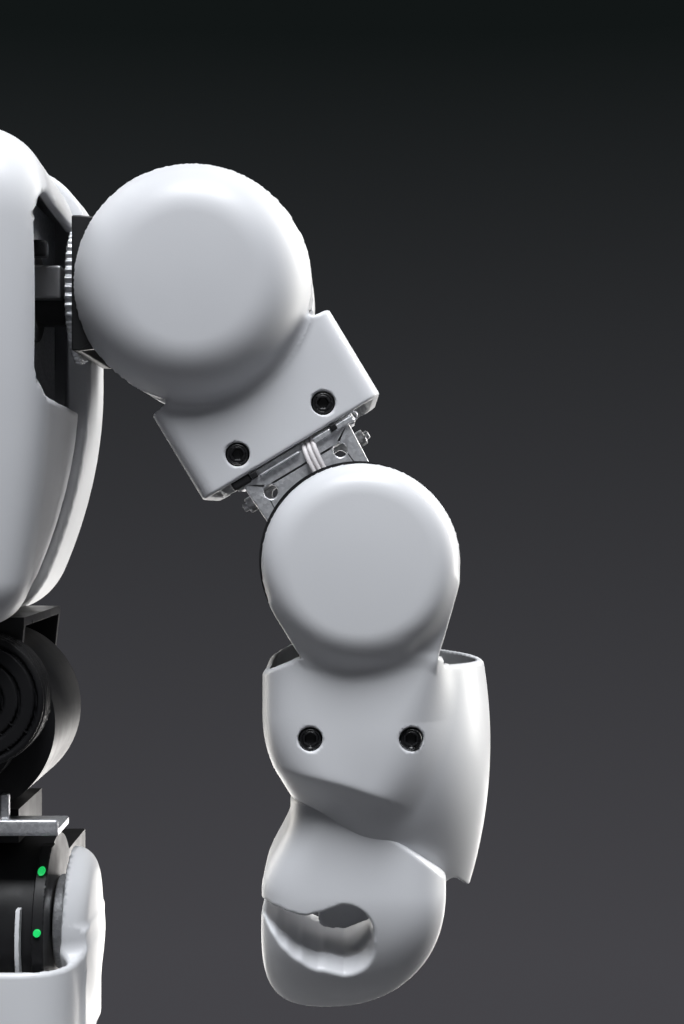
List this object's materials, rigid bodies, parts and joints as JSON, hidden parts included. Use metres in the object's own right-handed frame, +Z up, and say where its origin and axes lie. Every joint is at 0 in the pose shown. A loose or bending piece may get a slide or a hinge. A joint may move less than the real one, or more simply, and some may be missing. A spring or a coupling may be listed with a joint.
{
  "type": "humanoid robot kit",
  "caption": "Small humanoid robot kit: white moulded covers over black servo units and metal brackets, with jointed arms and legs, closed-fist hands and flat feet.",
  "frame": {"origin": "on the floor midway between the two feet", "axes": "+Z up, the robot faces -Y, +X is the robot's left"},
  "size_m": [0.2788, 0.104, 0.455],
  "materials": {
    "white_plastic": "fine satin grain, moulded",
    "grey_plastic": "satin",
    "black_plastic": "matte",
    "servo_black": "moulded, fine grain",
    "black_sheet": "black coated sheet",
    "zinc_sheet": "bright zinc-plated sheet",
    "screw_black": "black oxide",
    "screw_steel": "bright",
    "wire": "soft insulation",
    "board": "solder mask",
    "visor": "smoked gloss",
    "lens": "gloss lens",
    "foot_rubber": "matte black"
  },
  "bodies": {
    "torso": {"chest_shell": "white_plastic", "back_shell": "white_plastic", "torso_frame": "zinc_sheet", "battery_pack": "black_plastic", "control_board": "board", "shoulder_pitch_servos": "servo_black", "hip_yaw_servos": "servo_black", "neck_pan_servo": "servo_black", "torso_screws": "screw_steel"},
    "button": {"power_button": "grey_plastic"},
    "neck": {"neck_bracket": "black_sheet"},
    "head": {"head_tilt_servo": "servo_black", "head_shell": "white_plastic", "head_rear_shell": "white_plastic", "face_visor": "visor", "eye_lenses": "lens"},
    "shoulder_left": {"shoulder_yoke_left": "black_sheet"},
    "upper_arm_left": {"shoulder_roll_servo_left": "servo_black", "upper_arm_front_cover_left": "white_plastic", "upper_arm_rear_cover_left": "white_plastic", "elbow_bracket_left": "zinc_sheet", "elbow_cable_left": "wire", "upper_arm_screws_left": "screw_black"},
    "forearm_left": {"elbow_servo_left": "servo_black", "forearm_front_cover_left": "white_plastic", "forearm_rear_cover_left": "white_plastic", "hand_left": "white_plastic", "forearm_screws_left": "screw_black"},
    "hip_left": {"hip_yaw_bracket_left": "black_sheet"},
    "hip_block_left": {"hip_servos_left": "servo_black"},
    "thigh_left": {"thigh_frame_left": "zinc_sheet", "thigh_cover_left": "white_plastic", "knee_servo_left": "servo_black"},
    "shin_left": {"shin_frame_left": "zinc_sheet", "shin_cover_left": "white_plastic", "ankle_pitch_servo_left": "servo_black"},
    "ankle_left": {"ankle_unit_left": "servo_black"},
    "foot_left": {"foot_left": "foot_rubber"},
    "shoulder_right": {"shoulder_yoke_right": "black_sheet"},
    "upper_arm_right": {"shoulder_roll_servo_right": "servo_black", "upper_arm_front_cover_right": "white_plastic", "upper_arm_rear_cover_right": "white_plastic", "elbow_bracket_right": "zinc_sheet", "elbow_cable_right": "wire", "upper_arm_screws_right": "screw_black"},
    "forearm_right": {"elbow_servo_right": "servo_black", "forearm_front_cover_right": "white_plastic", "forearm_rear_cover_right": "white_plastic", "hand_right": "white_plastic", "forearm_screws_right": "screw_black"},
    "hip_right": {"hip_yaw_bracket_right": "black_sheet"},
    "hip_block_right": {"hip_servos_right": "servo_black"},
    "thigh_right": {"thigh_frame_right": "zinc_sheet", "thigh_cover_right": "white_plastic", "knee_servo_right": "servo_black"},
    "shin_right": {"shin_frame_right": "zinc_sheet", "shin_cover_right": "white_plastic", "ankle_pitch_servo_right": "servo_black"},
    "ankle_right": {"ankle_unit_right": "servo_black"},
    "foot_right": {"foot_right": "foot_rubber"}
  },
  "joints": [
    {"name": "power_press", "type": "slide", "parent": "torso", "child": "button", "axis": [0, -1, 0], "range_m": [0, 0.0012], "stiffness_N_per_m": 400},
    {"name": "neck_pan", "type": "hinge", "parent": "torso", "child": "neck", "pos_m": [0, 0, 0.354], "axis": [0, 0, 1], "range_deg": [-90, 90]},
    {"name": "head_tilt", "type": "hinge", "parent": "neck", "child": "head", "pos_m": [0, 0, 0.395], "axis": [1, 0, 0], "range_deg": [-25, 30]},
    {"name": "shoulder_pitch_left", "type": "hinge", "parent": "torso", "child": "shoulder_left", "pos_m": [0.06, 0, 0.3417], "axis": [1, 0, 0], "range_deg": [-90, 60]},
    {"name": "shoulder_roll_left", "type": "hinge", "parent": "shoulder_left", "child": "upper_arm_left", "pos_m": [0.082, 0, 0.3417], "axis": [0, -1, 0], "range_deg": [-12, 95]},
    {"name": "elbow_left", "type": "hinge", "parent": "upper_arm_left", "child": "forearm_left", "pos_m": [0.1129, 0, 0.29027], "axis": [0, -1, 0], "range_deg": [-20, 100]},
    {"name": "hip_yaw_left", "type": "hinge", "parent": "torso", "child": "hip_left", "pos_m": [0.039, 0, 0.3], "axis": [0, 0, -1], "range_deg": [-25, 15]},
    {"name": "hip_roll_left", "type": "hinge", "parent": "hip_left", "child": "hip_block_left", "pos_m": [0.039, 0, 0.26], "axis": [0, -1, 0], "range_deg": [-2, 25]},
    {"name": "hip_pitch_left", "type": "hinge", "parent": "hip_block_left", "child": "thigh_left", "pos_m": [0.039, 0, 0.2195], "axis": [1, 0, 0], "range_deg": [-65, 30]},
    {"name": "knee_left", "type": "hinge", "parent": "thigh_left", "child": "shin_left", "pos_m": [0.039, 0, 0.138], "axis": [1, 0, 0], "range_deg": [0, 95]},
    {"name": "ankle_pitch_left", "type": "hinge", "parent": "shin_left", "child": "ankle_left", "pos_m": [0.039, 0, 0.052], "axis": [1, 0, 0], "range_deg": [-40, 40]},
    {"name": "ankle_roll_left", "type": "hinge", "parent": "ankle_left", "child": "foot_left", "pos_m": [0.039, 0, 0.021], "axis": [0, -1, 0], "range_deg": [-18, 18]},
    {"name": "shoulder_pitch_right", "type": "hinge", "parent": "torso", "child": "shoulder_right", "pos_m": [-0.06, 0, 0.3417], "axis": [1, 0, 0], "range_deg": [-90, 60]},
    {"name": "shoulder_roll_right", "type": "hinge", "parent": "shoulder_right", "child": "upper_arm_right", "pos_m": [-0.082, 0, 0.3417], "axis": [0, 1, 0], "range_deg": [-12, 95]},
    {"name": "elbow_right", "type": "hinge", "parent": "upper_arm_right", "child": "forearm_right", "pos_m": [-0.1129, 0, 0.29027], "axis": [0, 1, 0], "range_deg": [-20, 100]},
    {"name": "hip_yaw_right", "type": "hinge", "parent": "torso", "child": "hip_right", "pos_m": [-0.039, 0, 0.3], "axis": [0, 0, 1], "range_deg": [-25, 15]},
    {"name": "hip_roll_right", "type": "hinge", "parent": "hip_right", "child": "hip_block_right", "pos_m": [-0.039, 0, 0.26], "axis": [0, 1, 0], "range_deg": [-2, 25]},
    {"name": "hip_pitch_right", "type": "hinge", "parent": "hip_block_right", "child": "thigh_right", "pos_m": [-0.039, 0, 0.2195], "axis": [1, 0, 0], "range_deg": [-65, 30]},
    {"name": "knee_right", "type": "hinge", "parent": "thigh_right", "child": "shin_right", "pos_m": [-0.039, 0, 0.138], "axis": [1, 0, 0], "range_deg": [0, 95]},
    {"name": "ankle_pitch_right", "type": "hinge", "parent": "shin_right", "child": "ankle_right", "pos_m": [-0.039, 0, 0.052], "axis": [1, 0, 0], "range_deg": [-40, 40]},
    {"name": "ankle_roll_right", "type": "hinge", "parent": "ankle_right", "child": "foot_right", "pos_m": [-0.039, 0, 0.021], "axis": [0, 1, 0], "range_deg": [-18, 18]}
  ]
}
